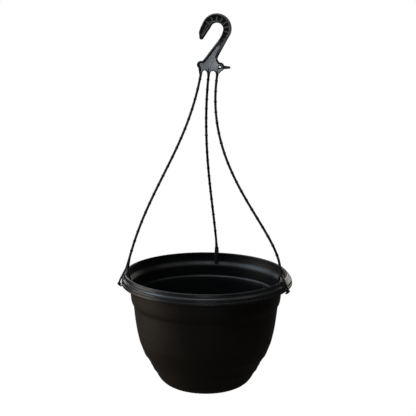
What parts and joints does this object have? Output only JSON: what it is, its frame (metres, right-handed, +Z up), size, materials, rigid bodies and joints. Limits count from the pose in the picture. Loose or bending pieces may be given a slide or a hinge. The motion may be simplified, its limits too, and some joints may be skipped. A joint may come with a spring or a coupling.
{
  "type": "hanging basket",
  "caption": "Hanging flower pot with a stepped bowl and flared rim, carried by a hooked plastic hanger whose beaded strands clip over the rim.",
  "frame": {"origin": "middle of the hook's throat, where the rail or bracket that carries the basket goes", "axes": "+Z up; +Y along the rail, towards the back; +X to the right, the side that the label peg points to"},
  "size_m": [0.2725, 0.2717, 0.5845],
  "materials": {
    "hanger_plastic": "smooth moulded, semi-gloss",
    "strand_plastic": "flexible, satin",
    "pot_plastic": "fine matte moulded, satin on the rim"
  },
  "bodies": {
    "hanger_head": {"hook": "hanger_plastic", "plate": "hanger_plastic", "label_peg": "hanger_plastic"},
    "basket": {"strand_left": "strand_plastic", "strand_rear": "strand_plastic", "strand_right": "strand_plastic", "rim_clip_left": "strand_plastic", "rim_clip_rear": "strand_plastic", "rim_clip_right": "strand_plastic", "pot": "pot_plastic"},
    "snap_left": {"snap_leg_left": "strand_plastic"},
    "snap_rear": {"snap_leg_rear": "strand_plastic"},
    "snap_right": {"snap_leg_right": "strand_plastic"}
  },
  "joints": [
    {"name": "basket_swing", "type": "hinge", "parent": "hanger_head", "child": "basket", "pos_m": [0, 0, -0.07], "axis": [1, 0, 0], "range_deg": [-20, 20]},
    {"name": "snap_left", "type": "hinge", "parent": "basket", "child": "snap_left", "pos_m": [-0.13684, -0.00945, -0.372], "axis": [-0.0767, 0.9971, 0], "range_deg": [0, 25], "stiffness_Nm_per_rad": 0.02},
    {"name": "snap_rear", "type": "hinge", "parent": "basket", "child": "snap_rear", "pos_m": [0.00315, 0.122, -0.372], "axis": [0.9903, -0.1392, 0], "range_deg": [0, 25], "stiffness_Nm_per_rad": 0.02},
    {"name": "snap_right", "type": "hinge", "parent": "basket", "child": "snap_right", "pos_m": [0.10086, -0.04455, -0.372], "axis": [-0.3616, -0.9323, 0], "range_deg": [0, 25], "stiffness_Nm_per_rad": 0.02}
  ]
}
